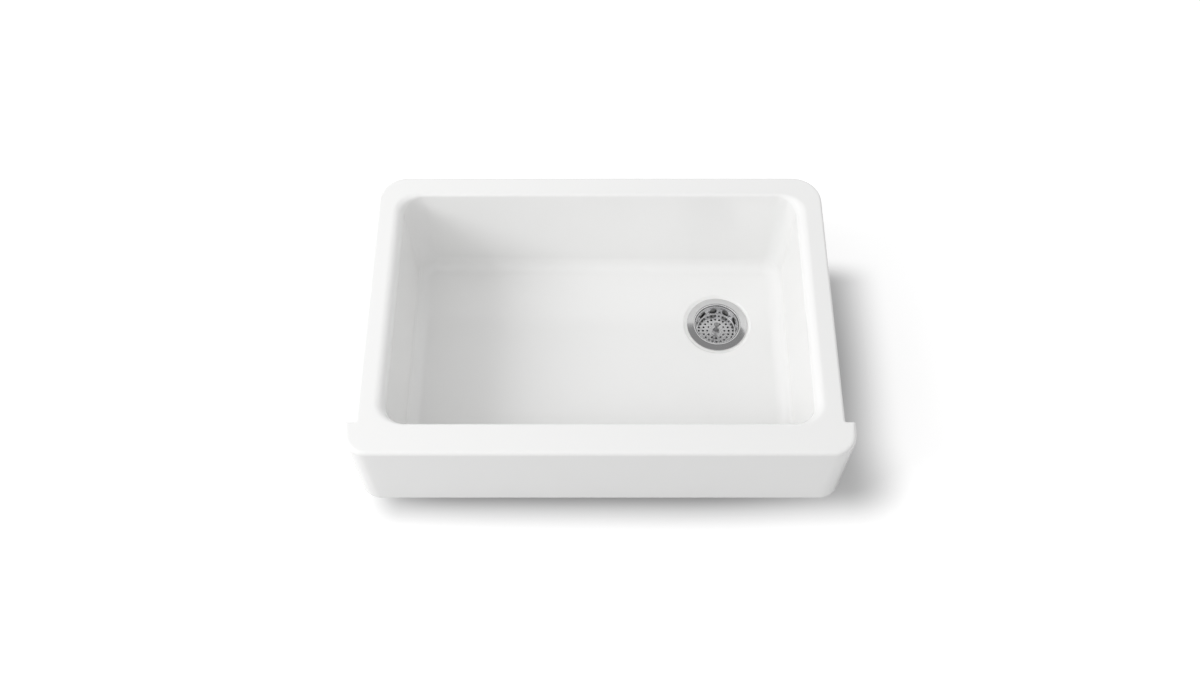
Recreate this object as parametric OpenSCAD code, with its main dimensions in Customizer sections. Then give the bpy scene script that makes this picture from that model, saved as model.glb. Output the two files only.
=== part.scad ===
// Apron front kitchen sink in enamelled cast iron, with a cast brass basket strainer.
// Origin: on the centre line, in the plane of the rim and in the plane of the cabinet face,
// which the backs of the apron's two wings lie against. +X right, +Y back, +Z up.

/* [Rim] */
// Width of the rim behind the apron
rim_w = 786; // [770:1:810]
// Depth of the rim behind the cabinet face
rim_d = 489.2; // [470:0.1:520]
// Plan radius of the two rear corners
rim_r = 50; // [36:1:70]
// Thickness of the rim
rim_t = 8.5; // [7:0.5:11]
// Height of the lip turned down at the sides and rear
lip_h = 19; // [16:0.5:28]
// Rounding of the rim's outer edge
rim_edge = 5.5; // [3:0.5:6.5]

/* [Apron] */
// How far each wing stands out past the rim
wing_w = 21; // [16:0.1:30]
// Depth of the apron in front of the cabinet face
apron_d = 58.6; // [50:0.1:75]
// Height of the apron
apron_h = 184; // [120:1:230]
// Plan radius of the two front corners
apron_r = 38; // [24:1:40]
// Thickness of the apron's panel and of the lip
panel_t = 8.5; // [7:0.5:9.5]
// Rounding at the foot of the apron and the lip
foot_r = 3.5; // [2:0.5:4]
// Length over which each wing's web runs out into the lip
gusset_l = 35; // [20:1:60]

/* [Bowl] */
// Width of the rim beside the bowl
side_rim = 29.6; // [27:0.1:40]
// Width of the rim behind the bowl
rear_rim = 39.3; // [30:0.1:60]
// How far the bowl's front edge stands forward of the cabinet face
bowl_set = 2.7; // [2.5:0.1:12]
// Depth of the bowl at the drain
bowl_depth = 229; // [200:1:260]
// Thickness of the bowl's walls and floor
wall_t = 7.5; // [7:0.5:10]
// Lean of the two side walls, in degrees
side_draft = 4.6; // [1:0.1:6]
// Lean of the front wall, in degrees
front_draft = 3; // [1:0.1:5]
// Lean of the rear wall, in degrees
rear_draft = 1.2; // [0.5:0.1:4]
// Plan radius of the bowl's front corners
bowl_front_r = 38; // [34:1:50]
// Plan radius of the bowl's rear corners
bowl_rear_r = 34; // [32:1:50]
// Radius of the cove between the walls and the floor
cove_r = 27; // [18:1:30]
// Rounding where the walls roll over into the rim
roll_r = 6; // [4:0.5:7]
// Fall of the floor to the drain, as a share of the run
floor_fall = 0.018; // [0.01:0.001:0.03]

/* [Drain] */
// Drain centre, right of the centre line
drain_x = 222.5; // [120:0.5:230]
// Drain centre, behind the cabinet face
drain_y = 315; // [220:0.5:330]
// Depth of the seat let into the floor
seat_drop = 2.5; // [2:0.1:4]
// Thickness of the boss under the seat
boss_t = 13; // [11:0.5:14]
// Play of the strainer in the drain hole, all round
hole_gap = 1.7; // [1:0.1:2.5]

/* [Strainer body] */
// Width of the flange beyond the threaded cup
flange_w = 12.85; // [11:0.05:14]
// Thickness of the flange at its outer edge
flange_t = 1.2; // [1:0.1:1.6]
// Rise of the flange from its outer edge to the crown round its mouth
crown_h = 1.4; // [0.8:0.1:1.6]
// Rounding where the flange rolls over into the mouth
mouth_roll = 3; // [2.2:0.1:3.2]
// Wall of the threaded cup outside the mouth
cup_wall = 2.6; // [2.2:0.1:3.2]
// Length of the thread below the seat
thread_l = 33; // [32.5:0.5:36]
// Radius of the throat under the stopper's seat
throat_r = 28.6; // [26:0.1:30]
// Radius of the waterway in the outlet neck
outlet_r = 18.5; // [16:0.1:19]
// Wall of the outlet neck
neck_wall = 5.4; // [4.6:0.1:6]
// Length of the outlet neck
neck_l = 16; // [14:0.5:22]
// Width of the four arms of the cross
arm_w = 4; // [3:0.5:6]
// Depth of the four arms of the cross
arm_h = 4; // [3:0.5:5]

/* [Seals and nuts] */
// Thickness of the seal under the flange
seal_t = 0.8; // [0.5:0.1:1.5]
// Thickness of the rubber gasket under the sink
gasket_t = 4; // [3:0.5:5]
// Thickness of the fibre friction ring
fibre_t = 1.2; // [0.8:0.1:1.6]
// Height of the locknut
locknut_h = 12; // [9:0.5:12]
// Number of lugs round the locknut
locknut_lugs = 8; // [6:1:10]
// Thickness of the tailpiece washer
washer_t = 2.5; // [2:0.1:3.5]
// Outside diameter of the tailpiece
tail_d = 38.1; // [34:0.1:38.6]
// Wall of the tailpiece
tail_wall = 1; // [0.8:0.1:1.4]
// Length of the tailpiece
tail_l = 101.6; // [80:0.1:150]

/* [Basket] */
// Outside diameter of the basket at its rim
basket_d = 79.8; // [76:0.1:84]
// Thickness of the basket's sheet
basket_wall = 0.9; // [0.7:0.1:1.2]
// Depth of the basket inside
basket_h = 23.4; // [20:0.1:24]
// Lean of the basket's side, in millimetres on the radius
basket_taper = 1.2; // [0.5:0.1:2]
// Number of tall slots round the side
slot_count = 10; // [8:1:11]
// Width of each slot
slot_w = 13; // [9:0.5:14]
// Height of each slot
slot_h = 17.5; // [14.5:0.5:17.5]
// Diameter of the floor's holes
hole_d = 4; // [2.5:0.1:4.5]
// Spacing of the rings of holes, and of the first ring from the middle's clear patch
ring_step = 8.2; // [7.5:0.1:8.4]
// Holes that each ring of the floor has more than the ring inside it
ring_more = 8; // [6:1:8]
// Thickness of the rubber stopper
stopper_t = 4; // [3:0.1:4.5]
// Radius of the post
post_r = 3; // [2.5:0.1:3.4]
// Radius of the knob
knob_r = 4.8; // [4.4:0.1:6]

/* [Hidden] */
$fn = 96;

// Clearances
thread_gap = 0.15;   // between a thread and its nut, on the radius
slip_gap = 0.3;      // between rings and the tubes that they go over, on the radius
seat_gap = 0.3;      // between the basket's bearing places and the strainer body
lift_gap = 0.5;      // round the basket's bead in the mouth
side_gap = 0.7;      // round the basket's side in the well
pin_gap = 0.1;       // round the post in what is threaded on it
hub_gap = 0.6;       // round the post in the cross's hub

// Steps of the casting's skin
n_front = 5;         // along half of the front
n_arc = 7;           // round a quarter circle in plan
n_wing = 2;          // round the back corner of a wing
n_side = 6;          // along a side
n_rear = 6;          // along half of the rear
n_edge = 3;          // over a rounded edge
n_cove = 6;          // round the cove
n_near = n_arc + n_wing + 2;

// Bowl
apron_w = rim_w + 2 * wing_w;
bowl_x = rim_w / 2 - side_rim;
bowl_front_y = -bowl_set;
bowl_rear_y = rim_d - rear_rim;
wall_h = bowl_depth - roll_r - cove_r;
bottom_grow = 2;     // how much rounder the corners are at the foot of the walls
near_share = 0.82;   // share of the bowl's front that lies opposite the apron's flat front
fillet_r = min(4, (side_rim - panel_t - wall_t) / 3);

// Drain chain, outwards from the basket
basket_r = basket_d / 2;
bead_r = 1.1;
bead_x = basket_r - basket_wall + bead_r;
mouth_r = bead_x + bead_r + lift_gap;
well_r = basket_r + side_gap;
cup_r = mouth_r + cup_wall;
flange_r = cup_r + flange_w;
hole_r = cup_r + hole_gap;
seat_margin = 2.85;  // of the seat round the flange
seat_r = flange_r + seat_margin;
recess_w = 5;
boss_margin = 5;     // of the boss round the flange
boss_r = flange_r + boss_margin;
boss_w = 10;

// Drain chain, downwards from the seat, where z is 0
seat_z = -bowl_depth - seat_drop;
flange_z = seal_t + flange_t;
mouth_z = flange_z + crown_h;
bead_drop = 3;       // of the basket's bead below the mouth's crown
bead_z = mouth_z - bead_drop - bead_r;
ledge_z = bead_z - bead_r - seat_gap;
floor_z = bead_z + bead_r - basket_h;
sheet_z = floor_z - basket_wall;
well_drop = 5;       // of the conical seat below the basket's sheet
well_z = sheet_z - well_drop;
throat_z = well_z - (well_r - throat_r);
throat_h = 6;
outlet_h = 4;
cross_z = throat_z - throat_h;
neck_z = cross_z - outlet_h;
neck_end_z = neck_z - neck_l;
neck_r = outlet_r + neck_wall;

// Stopper stack on the post, downwards
post_washer_t = 0.8;
plate_t = 1;
stopper_drop = 5;    // of the stopper below the top of its seat
stopper_z = well_z - stopper_drop;
stopper_end_z = stopper_z - stopper_t;
plate_z = stopper_z + plate_t;
stem_washer_t = 1;
stem_nut_h = 3.6;
stem_nut_z = stopper_end_z - stem_washer_t;
clip_z = stem_nut_z - stem_nut_h;
hub_r = 6.5;
hub_bore_r = post_r + hub_gap;
stem_end_z = cross_z - arm_h - 2;
clip_wall = 0.6;
knob_h = 7;
knob_drop = 0.4;     // of the knob's top below the mouth's crown
knob_z = mouth_z - knob_drop - knob_h;
tenon_r = post_r / 2;
tenon_h = 4.5;

// Under the sink, downwards
gasket_z = -boss_t;
fibre_z = gasket_z - gasket_t;
locknut_z = fibre_z - fibre_t;
tail_r = tail_d / 2;
tail_top_z = neck_end_z - washer_t;
tail_flange_t = 1.6;
collar_w = 0.5;      // swelling of the tailpiece under its flange
collar_h = 5;
nut_lip_t = 3;
nut_r = neck_r + thread_gap;
nut_wall = 4.5;
nut_bottom_z = tail_top_z - tail_flange_t - nut_lip_t;

// Colours
enamel = [0.95, 0.95, 0.94];
brass = [0.76, 0.74, 0.70];
steel = [0.74, 0.75, 0.76];
rubber = [0.12, 0.12, 0.12];
fibre = [0.62, 0.48, 0.34];
plastic = [0.88, 0.88, 0.84];

function lerp(a, b, t) = a + (b - a) * t;

function smooth(t) = t * t * (3 - 2 * t);

// ---- The casting: rings of points laid from the drain's seat up the bowl, over the rim,
// down the apron and back under to the boss, joined ring to ring.

// One column of the skin: how far along the straight, front to rear, the corner's angle,
// and whether it takes the rear radius.
half_columns = concat(
    [for (i = [0:n_front - 1]) [near_share * i / n_front, 0, -90, false]],
    [for (i = [0:n_near - 1]) [lerp(near_share, 1, i / n_near), 0, -90, false]],
    [for (i = [0:n_arc]) [1, 0, -90 + 90 * i / n_arc, false]],
    [for (i = [1:n_side - 1]) [1, i / n_side, 0, false]],
    [for (i = [0:n_arc]) [1, 1, 90 * i / n_arc, true]],
    [for (i = [1:n_rear]) [1 - i / n_rear, 1, 90, true]]
);
half = len(half_columns);
columns = 2 * half - 2;

// A half ring completed by its mirror image.
function both_sides(ring) = concat(
    ring,
    [for (i = [half - 2:-1:1]) [-ring[i].x, ring[i].y]]
);

// A list of one value for each column of a half, completed for the other half.
function both_values(list) = concat(list, [for (i = [half - 2:-1:1]) list[i]]);

// The bowl's outline grown by e, down the wall by t from its top, 0, to its foot, 1.
function bowl_point(c, e, t) =
    let (x = bowl_x - tan(side_draft) * wall_h * t + e)
    let (front = bowl_front_y + tan(front_draft) * wall_h * t - e)
    let (rear = bowl_rear_y - tan(rear_draft) * wall_h * t + e)
    let (front_r = max(bowl_front_r + bottom_grow * t + e, 2))
    let (rear_r = max(bowl_rear_r + bottom_grow * t + e, 2))
    let (r = c[3] ? rear_r : front_r)
    [
        (x - r) * c[0] + r * cos(c[2]),
        lerp(front + front_r, rear - rear_r, c[1]) + r * sin(c[2])
    ];

// Height of the sloping floor at a point.
function floor_height(p) =
    let (run = norm([p.x - drain_x, p.y - drain_y]) - seat_r - recess_w)
    -bowl_depth + floor_fall * max(run, 0);

floor_edge = both_sides([for (c = half_columns) bowl_point(c, -cove_r, 1)]);
cove_heights = [for (p = floor_edge) floor_height(p)];
all_columns = concat(
    [for (c = half_columns) [c[0], c[1], c[2], c[3], 1]],
    [for (i = [half - 2:-1:1]) concat([for (k = [0:3]) half_columns[i][k]], [-1])]
);

// A point of the bowl in full column k, at height z.
function skin_point(k, e, z) =
    let (t = (-roll_r - z) / wall_h)
    let (p = bowl_point(all_columns[k], e, t))
    [all_columns[k][4] * p.x, p.y, z];

// A level ring of the bowl.
function bowl_ring(e, z) = [for (k = [0:columns - 1]) skin_point(k, e, z)];

// A ring of the cove, a degrees round from the wall, with the wall grown by e. The foot of
// the wall, and with it the lean, follows the floor's height in each column.
function cove_ring(e, a) = [
    for (k = [0:columns - 1])
        let (foot = cove_heights[k] + cove_r)
        let (p = skin_point(k, e - (cove_r + e) * (1 - cos(a)), foot))
        [p.x, p.y, foot - (cove_r + e) * sin(a)]
];

// A ring round the drain, each point in line with its column's place on the floor's edge.
function drain_ring(r, z) = [
    for (p = floor_edge)
        let (a = atan2(p.y - drain_y, p.x - drain_x))
        [drain_x + r * cos(a), drain_y + r * sin(a), z]
];

// The outside of the apron and rim, drawn in by d.
function outline(d) =
    let (apron_x = apron_w / 2 - apron_r)
    let (apron_y = apron_r - apron_d)
    let (rim_x = rim_w / 2 - rim_r)
    let (rim_y = rim_d - rim_r)
    let (wing_r = max(foot_r - d, 0.4))
    both_sides(concat(
        [for (i = [0:n_front - 1]) [apron_x * i / n_front, d - apron_d]],
        [for (i = [0:n_arc]) let (a = -90 + 90 * i / n_arc)
            [apron_x + (apron_r - d) * cos(a), apron_y + (apron_r - d) * sin(a)]],
        [for (i = [0:n_wing]) let (a = 90 * i / n_wing)
            [apron_w / 2 - d - wing_r * (1 - cos(a)), -d - wing_r * (1 - sin(a))]],
        [for (i = [0:n_arc]) [rim_w / 2 - d, lerp(-d, gusset_l, i / n_arc)]],
        [for (i = [1:n_side - 1]) [rim_w / 2 - d, lerp(gusset_l, rim_y, i / n_side)]],
        [for (i = [0:n_arc]) let (a = 90 * i / n_arc)
            [rim_x + (rim_r - d) * cos(a), rim_y + (rim_r - d) * sin(a)]],
        [for (i = [1:n_rear]) [rim_x * (1 - i / n_rear), rim_d - d]]
    ));

// How far the outside hangs below the rim in each column: the apron's height along the
// front, then a hollow curve down the web of the wing into the lip.
skirt = both_values([
    for (i = [0:half - 1])
        let (along = (i - n_front - n_near) / n_arc)
        i <= n_front + n_near ? apron_h
            : along >= 1 ? lip_h
            : lerp(apron_h, lip_h, sin(90 * along))
]);

function level_outline(d, z) = [for (p = outline(d)) [p.x, p.y, z]];

// The outline drawn in by d, up by rise from the foot of the skirt.
function skirt_ring(d, rise) =
    let (ring = outline(d))
    [for (k = [0:columns - 1]) [ring[k].x, ring[k].y, rise - skirt[k]]];

rings = concat(
    [for (i = [0:3]) drain_ring(seat_r + recess_w * i / 3, lerp(seat_z, -bowl_depth, smooth(i / 3)))],
    [for (i = [n_cove:-1:0]) cove_ring(0, 90 * i / n_cove)],
    [for (i = [0:n_edge]) let (a = 90 * i / n_edge)
        bowl_ring(roll_r * (1 - cos(a)), -roll_r * (1 - sin(a)))],
    [for (i = [0:n_edge]) let (a = 90 * i / n_edge)
        level_outline(rim_edge * (1 - sin(a)), -rim_edge * (1 - cos(a)))],
    [for (i = [0:2]) skirt_ring(foot_r * (1 - cos(45 * i)), foot_r * (1 - sin(45 * i)))],
    [skirt_ring(panel_t, 0)],
    [level_outline(panel_t, -rim_t - fillet_r)],
    [level_outline(panel_t + fillet_r, -rim_t)],
    [bowl_ring(wall_t + fillet_r, -rim_t)],
    [bowl_ring(wall_t, -rim_t - fillet_r)],
    [for (i = [0:n_cove]) cove_ring(wall_t, 90 * i / n_cove)],
    [drain_ring(boss_r + boss_w, -bowl_depth - wall_t)],
    [drain_ring(boss_r, seat_z - boss_t)]
);

// Ring to ring, two triangles to each step, and a flat end on the first and last ring.
function skin_faces(n, m) = concat(
    [[for (k = [m - 1:-1:0]) k]],
    [
        for (j = [0:n - 2], k = [0:m - 1])
            let (a = j * m + k)
            let (b = j * m + (k + 1) % m)
            each [[a, b, b + m], [a, b + m, a + m]]
    ],
    [[for (k = [0:m - 1]) (n - 1) * m + k]]
);

module sink_casting() {
    color(enamel)
    difference() {
        polyhedron(
            points = [for (ring = rings) each ring],
            faces = skin_faces(len(rings), columns),
            convexity = 12
        );
        translate([drain_x, drain_y, seat_z - boss_t - 1])
            cylinder(r = hole_r, h = boss_t + 2);
    }
}

// ---- The strainer, drawn round the drain's axis with z 0 at the seat.

module at_drain() {
    translate([drain_x, drain_y, seat_z])
        children();
}

module ring(r_in, r_out, z, h) {
    translate([0, 0, z])
        difference() {
            cylinder(r = r_out, h = h);
            translate([0, 0, -1])
                cylinder(r = r_in, h = h + 2);
        }
}

// Half section of the cast body: crowned flange, threaded cup, seat, throat and outlet neck.
module body_section() {
    edge = 0.8;
    out_r = throat_r + 3.6;
    polygon(concat(
        [
            [outlet_r, neck_end_z],
            [neck_r, neck_end_z],
            [neck_r, neck_z - 2],
            [out_r, neck_z + 2],
            [out_r, -thread_l - cup_r + out_r],
            [cup_r, -thread_l],
            [cup_r, seal_t],
            [flange_r, seal_t]
        ],
        [for (a = [0:15:90]) [flange_r - edge * (1 - cos(a)), flange_z - edge * (1 - sin(a))]],
        [for (a = [0:11.25:90]) [mouth_r + mouth_roll * (1 - sin(a)), mouth_z - mouth_roll * (1 - cos(a))]],
        [
            [mouth_r, ledge_z],
            [well_r, ledge_z],
            [well_r, well_z],
            [throat_r, throat_z],
            [throat_r, cross_z],
            [outlet_r, neck_z]
        ]
    ));
}

module strainer_body() {
    color(brass)
    at_drain() {
        difference() {
            union() {
                rotate_extrude()
                    body_section();
                intersection() {
                    translate([0, 0, cross_z - arm_h])
                        cylinder(r = lerp(outlet_r, throat_r, 0.2), h = arm_h);
                    for (turn = [0, 90])
                        rotate([0, 0, turn])
                            translate([-throat_r, -arm_w / 2, cross_z - arm_h])
                                cube([2 * throat_r, arm_w, arm_h]);
                }
                translate([0, 0, cross_z - arm_h])
                    cylinder(r = hub_r, h = arm_h);
            }
            translate([0, 0, cross_z - arm_h - 1])
                cylinder(r = hub_bore_r, h = arm_h + 2);
        }
    }
}

module flange_seal() {
    color(rubber)
    at_drain()
        ring(hole_r + 0.4, flange_r - 0.6, 0, seal_t);
}

module lower_gasket() {
    color(rubber)
    at_drain()
        ring(cup_r + slip_gap, boss_r - 3.5, fibre_z, gasket_t);
}

module friction_ring() {
    color(fibre)
    at_drain()
        ring(cup_r + slip_gap, boss_r - 4.5, locknut_z, fibre_t);
}

// Cast locknut: a threaded ring under a bearing flange, with lugs for a spanner.
module locknut() {
    flange_h = 3;
    ring_r = cup_r + 6;
    lug_r = boss_r - 4;
    lug_w = 11;
    color(brass)
    at_drain()
        difference() {
            union() {
                translate([0, 0, locknut_z - flange_h])
                    cylinder(r = lug_r, h = flange_h);
                translate([0, 0, locknut_z - locknut_h])
                    cylinder(r = ring_r, h = locknut_h - flange_h);
                intersection() {
                    translate([0, 0, locknut_z - locknut_h])
                        cylinder(r = lug_r, h = locknut_h - flange_h);
                    for (i = [0:locknut_lugs - 1])
                        rotate([0, 0, 360 * i / locknut_lugs])
                            translate([ring_r - 1, -lug_w / 2, locknut_z - locknut_h])
                                cube([lug_r, lug_w, locknut_h - flange_h]);
                }
            }
            translate([0, 0, locknut_z - locknut_h - 1])
                cylinder(r = cup_r + thread_gap, h = locknut_h + 2);
        }
}

module tailpiece_washer() {
    color(plastic)
    at_drain()
        ring(outlet_r + 0.1, neck_r - 0.3, tail_top_z, washer_t);
}

// Flanged tube with a collar under the flange, held up against the washer by the coupling nut.
module tailpiece() {
    collar_z = tail_top_z - tail_flange_t - collar_h + collar_w;
    color(brass)
    at_drain()
        rotate_extrude()
            polygon([
                [tail_r - tail_wall, tail_top_z - tail_l],
                [tail_r, tail_top_z - tail_l],
                [tail_r, collar_z - collar_w],
                [tail_r + collar_w, collar_z],
                [tail_r + collar_w, tail_top_z - tail_flange_t],
                [neck_r - 0.4, tail_top_z - tail_flange_t],
                [neck_r - 0.4, tail_top_z],
                [tail_r - tail_wall, tail_top_z]
            ]);
}

// Six-sided slip nut with a rounded crown and a lip under the tailpiece's flange.
module coupling_nut() {
    top_z = neck_z - 4;
    body_h = top_z - nut_bottom_z;
    flats_r = nut_r + nut_wall;
    color(brass)
    at_drain()
        difference() {
            intersection() {
                translate([0, 0, nut_bottom_z])
                    cylinder(r = flats_r / cos(30), h = body_h, $fn = 6);
                translate([0, 0, nut_bottom_z])
                    rotate_extrude()
                        polygon([
                            [0, 0],
                            [flats_r - 1, 0],
                            [flats_r + 3, 4 * tan(30)],
                            [flats_r + 6, 4 * tan(30)],
                            [flats_r + 6, body_h - 6 * tan(30)],
                            [flats_r, body_h],
                            [0, body_h]
                        ]);
            }
            translate([0, 0, nut_bottom_z - 1])
                cylinder(r = tail_r + collar_w + slip_gap, h = body_h + 2);
            translate([0, 0, nut_bottom_z + nut_lip_t])
                cylinder(r = nut_r, h = body_h);
        }
}

// ---- The lift-out basket.

// Half section of the pressed cup: rolled bead, leaning side, round foot and flat floor.
module basket_section() {
    foot = 3;
    foot_x = basket_r - basket_taper;
    polygon([
        [0, sheet_z],
        [foot_x - foot, sheet_z],
        [foot_x - foot, floor_z],
        [0, floor_z]
    ]);
    polygon([
        [foot_x, sheet_z + foot],
        [basket_r, bead_z],
        [basket_r - basket_wall, bead_z],
        [foot_x - basket_wall, sheet_z + foot]
    ]);
    intersection() {
        translate([foot_x - foot, sheet_z + foot])
            difference() {
                circle(r = foot);
                circle(r = foot - basket_wall);
            }
        translate([foot_x - foot, sheet_z])
            square([foot, foot]);
    }
    translate([bead_x, bead_z])
        circle(r = bead_r);
}

// Upright slot with round ends, drawn from the axis outwards.
module slot_cutter() {
    reach = basket_r + 4;
    rotate([90, 0, 90])
        linear_extrude(height = reach)
            union() {
                translate([-slot_w / 2, slot_w / 2 - slot_h / 2])
                    square([slot_w, max(slot_h - slot_w, 0.01)]);
                for (end = [-1, 1])
                    translate([0, end * (slot_h - slot_w) / 2])
                        circle(d = slot_w);
            }
}

module basket_shell() {
    slot_sill = 1.6;
    slot_turn = 24;
    first_ring = 12;
    slot_z = floor_z + slot_sill + slot_h / 2;
    color(steel)
    at_drain()
        difference() {
            rotate_extrude()
                basket_section();
            for (i = [0:slot_count - 1])
                rotate([0, 0, 360 * i / slot_count + slot_turn])
                    translate([basket_r / 2, 0, slot_z])
                        slot_cutter();
            for (row = [0:2])
                for (i = [0:first_ring + ring_more * row - 1])
                    rotate([0, 0, 360 * i / (first_ring + ring_more * row)])
                        translate([(row + 2) * ring_step, 0, sheet_z - 1])
                            cylinder(d = hole_d, h = basket_wall + 2, $fn = 24);
            translate([0, 0, sheet_z - 1])
                cylinder(r = post_r + pin_gap, h = basket_wall + 2);
        }
}

// Turned post with a foot on the basket's floor, a waist and a stem down through the stopper.
module basket_post() {
    foot_x = 2 * post_r + 0.5;
    waist_x = 0.8 * post_r;
    stem_x = post_r - clip_wall - pin_gap;
    color(steel)
    at_drain()
        rotate_extrude()
            polygon([
                [0, stem_end_z],
                [stem_x - 0.4, stem_end_z],
                [stem_x, stem_end_z + 0.4],
                [stem_x, clip_z],
                [post_r, clip_z],
                [post_r, floor_z],
                [foot_x, floor_z],
                [foot_x, floor_z + 0.8],
                [post_r + 1.2, floor_z + 2.6],
                [waist_x + 0.5, floor_z + 5],
                [waist_x, floor_z + 9],
                [waist_x, knob_z],
                [tenon_r, knob_z],
                [tenon_r, knob_z + tenon_h],
                [0, knob_z + tenon_h]
            ]);
}

// Mushroom knob screwed on the post.
module basket_knob() {
    color(steel)
    at_drain()
        translate([0, 0, knob_z])
            difference() {
                rotate_extrude()
                    polygon([
                        [0, 0],
                        [0.62 * knob_r, 0],
                        [0.78 * knob_r, 0.28 * knob_h],
                        [knob_r, 0.57 * knob_h],
                        [knob_r, 0.77 * knob_h],
                        [0.85 * knob_r, 0.92 * knob_h],
                        [0.5 * knob_r, knob_h],
                        [0, knob_h]
                    ]);
                translate([0, 0, -1])
                    cylinder(r = tenon_r + pin_gap, h = tenon_h + pin_gap + 1);
            }
}

module post_washer() {
    color(steel)
    at_drain()
        ring(post_r + pin_gap, 3 * post_r, sheet_z - post_washer_t, post_washer_t);
}

module post_spacer() {
    color(steel)
    at_drain()
        ring(post_r + pin_gap, post_r + 2, plate_z, sheet_z - post_washer_t - plate_z);
}

// Rubber disc whose edge follows the conical seat in the strainer's body.
module stopper() {
    cone_x = well_r - well_z;
    edge_gap = seat_gap * sqrt(2);
    color(rubber)
    at_drain()
        rotate_extrude()
            polygon([
                [post_r + pin_gap, stopper_end_z],
                [cone_x + stopper_end_z - edge_gap - 4, stopper_end_z],
                [cone_x + stopper_end_z - edge_gap, stopper_end_z],
                [cone_x + stopper_z - edge_gap, stopper_z],
                [cone_x + stopper_z - edge_gap - 2, stopper_z + 0.8],
                [cone_x + stopper_z - edge_gap - 6, stopper_z],
                [post_r + pin_gap, stopper_z]
            ]);
}

module stopper_plate() {
    color(steel)
    at_drain()
        ring(post_r + pin_gap, throat_r - 4, stopper_z, plate_t);
}

module stopper_washer() {
    color(steel)
    at_drain()
        ring(post_r + pin_gap, 3 * post_r, stem_nut_z, stem_washer_t);
}

module stem_nut() {
    color(steel)
    at_drain()
        translate([0, 0, clip_z])
            difference() {
                cylinder(r = 2 * post_r, h = stem_nut_h, $fn = 6);
                translate([0, 0, -1])
                    cylinder(r = post_r + pin_gap, h = stem_nut_h + 2);
            }
}

// Split spring sleeve on the stem's end, which grips the cross when the basket is raised.
module catch_clip() {
    clip_h = clip_z - stem_end_z - 0.5;
    color(steel)
    at_drain()
        translate([0, 0, stem_end_z + 0.5])
            difference() {
                rotate_extrude()
                    polygon([
                        [post_r - clip_wall, 0],
                        [post_r - 0.1, 0],
                        [post_r + 0.3, 0.25 * clip_h],
                        [post_r, 0.5 * clip_h],
                        [post_r, clip_h],
                        [post_r - clip_wall, clip_h]
                    ]);
                for (turn = [0, 90])
                    rotate([0, 0, turn])
                        translate([-2 * post_r, -0.5, -1])
                            cube([4 * post_r, 1, 0.75 * clip_h + 1]);
            }
}

sink_casting();
strainer_body();
flange_seal();
lower_gasket();
friction_ring();
locknut();
tailpiece_washer();
tailpiece();
coupling_nut();
basket_shell();
basket_post();
basket_knob();
post_washer();
post_spacer();
stopper();
stopper_plate();
stopper_washer();
stem_nut();
catch_clip();
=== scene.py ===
"""Looks of the apron front sink: enamelled casting, finishes of the drain and a plain stage."""

import math

import bpy
import numpy as np
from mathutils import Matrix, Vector


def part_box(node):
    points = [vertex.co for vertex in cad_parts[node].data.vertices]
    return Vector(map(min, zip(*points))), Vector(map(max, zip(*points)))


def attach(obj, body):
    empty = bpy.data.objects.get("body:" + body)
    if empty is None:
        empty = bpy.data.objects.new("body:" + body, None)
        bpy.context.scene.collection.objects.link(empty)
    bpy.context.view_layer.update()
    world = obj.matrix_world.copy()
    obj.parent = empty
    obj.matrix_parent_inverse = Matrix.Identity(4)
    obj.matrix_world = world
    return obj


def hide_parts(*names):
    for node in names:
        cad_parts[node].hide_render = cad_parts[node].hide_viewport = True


bl_info = {
    "name": "Apron Front Sink",
    "version": (1, 0, 0),
    "blender": (4, 5, 0),
    "location": "View3D > Sidebar > Sink",
    "description": "Dresses the packed sink: enamelled casting, drain finishes and a plain stage",
    "category": "Object",
}

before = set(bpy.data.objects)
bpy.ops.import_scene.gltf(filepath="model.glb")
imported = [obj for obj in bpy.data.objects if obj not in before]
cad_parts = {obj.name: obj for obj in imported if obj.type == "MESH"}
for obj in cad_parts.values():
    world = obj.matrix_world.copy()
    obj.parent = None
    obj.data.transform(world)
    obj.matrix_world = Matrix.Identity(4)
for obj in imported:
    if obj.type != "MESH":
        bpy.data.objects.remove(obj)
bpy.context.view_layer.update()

CASTING_LOW, CASTING_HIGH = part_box("sink_casting")
SEAT_LOW, SEAT_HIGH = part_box("flange_seal")
DRAIN_AXIS = (SEAT_LOW + SEAT_HIGH) / 2
DRAIN = np.array([DRAIN_AXIS.x, DRAIN_AXIS.y])
DRAIN_FOOT = (DRAIN_AXIS.x, DRAIN_AXIS.y, 0)
SEAT_Z = SEAT_LOW.z


# ---- Sizes and colours that a user would change


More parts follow.
